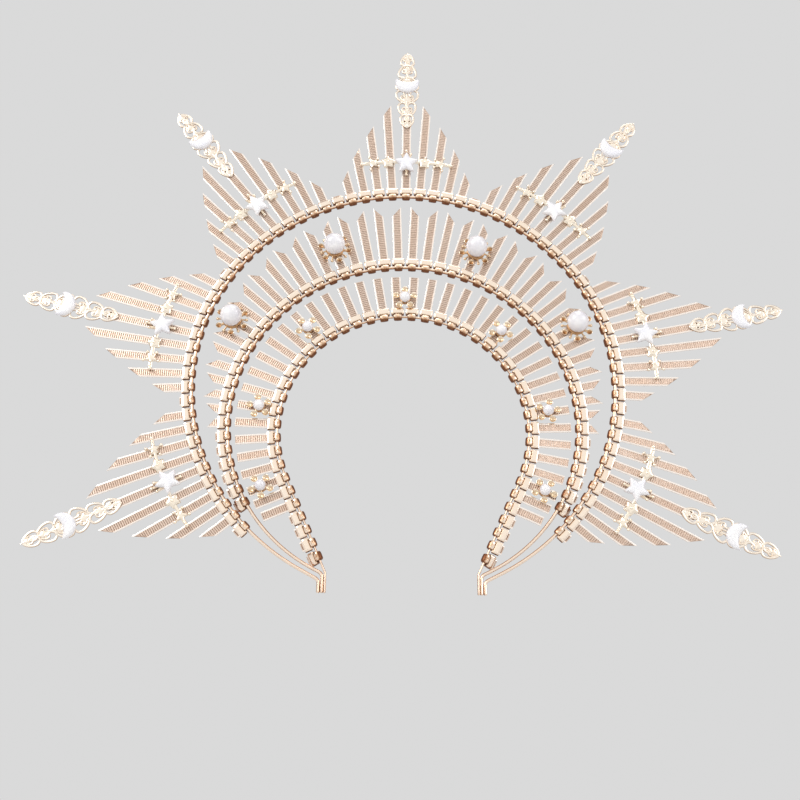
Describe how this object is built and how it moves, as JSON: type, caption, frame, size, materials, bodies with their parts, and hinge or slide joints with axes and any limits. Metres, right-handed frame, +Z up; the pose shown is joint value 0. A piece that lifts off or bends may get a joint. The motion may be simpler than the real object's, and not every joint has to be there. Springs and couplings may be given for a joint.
{
  "type": "halo crown",
  "caption": "Sunburst halo crown of wire hoops threaded with crimped ladder strips, with filigree spikes, star bars, crescent moons and pearl flowers.",
  "frame": {"origin": "midway between the two sets of wire tips, at the height of their ends and in the plane of the hoops", "axes": "+X across the head to the right in the picture, +Z up through the top ray, -Y to the front"},
  "size_m": [0.4266, 0.017, 0.3366],
  "materials": {
    "wire_gold": "polished",
    "sheet_gold": "polished",
    "strip_gold": "satin",
    "filigree_gold": "polished",
    "cast_gold": "polished",
    "solder": "satin",
    "pearl": "pearl",
    "shell": "pearl"
  },
  "bodies": {
    "root": {"outer_hoop": "wire_gold", "middle_hoop": "wire_gold", "inner_hoop": "wire_gold", "tip_solder": "solder", "left_low_ray_strips": "strip_gold", "left_low_ray_ends": "sheet_gold", "left_low_ray_filigree": "filigree_gold", "left_low_ray_moon": "shell", "left_low_ray_star_bar": "cast_gold", "left_low_ray_star": "shell", "left_mid_ray_strips": "strip_gold", "left_mid_ray_ends": "sheet_gold", "left_mid_ray_filigree": "filigree_gold", "left_mid_ray_moon": "shell", "left_mid_ray_star_bar": "cast_gold", "left_mid_ray_star": "shell", "left_high_ray_strips": "strip_gold", "left_high_ray_ends": "sheet_gold", "left_high_ray_filigree": "filigree_gold", "left_high_ray_moon": "shell", "left_high_ray_star_bar": "cast_gold", "left_high_ray_star": "shell", "top_ray_strips": "strip_gold", "top_ray_ends": "sheet_gold", "top_ray_filigree": "filigree_gold", "top_ray_moon": "shell", "top_ray_star_bar": "cast_gold", "top_ray_star": "shell", "right_high_ray_strips": "strip_gold", "right_high_ray_ends": "sheet_gold", "right_high_ray_filigree": "filigree_gold", "right_high_ray_moon": "shell", "right_high_ray_star_bar": "cast_gold", "right_high_ray_star": "shell", "right_mid_ray_strips": "strip_gold", "right_mid_ray_ends": "sheet_gold", "right_mid_ray_filigree": "filigree_gold", "right_mid_ray_moon": "shell", "right_mid_ray_star_bar": "cast_gold", "right_mid_ray_star": "shell", "right_low_ray_strips": "strip_gold", "right_low_ray_ends": "sheet_gold", "right_low_ray_filigree": "filigree_gold", "right_low_ray_moon": "shell", "right_low_ray_star_bar": "cast_gold", "right_low_ray_star": "shell", "outer_bare_ends": "sheet_gold", "outer_stubs": "strip_gold", "middle_ends": "sheet_gold", "middle_strips": "strip_gold", "middle_stubs": "strip_gold", "inner_ends": "sheet_gold", "inner_strips": "strip_gold", "inner_stubs": "strip_gold", "large_flowers": "cast_gold", "large_pearls": "pearl", "small_flowers": "cast_gold", "small_pearls": "pearl"}
  },
  "joints": []
}
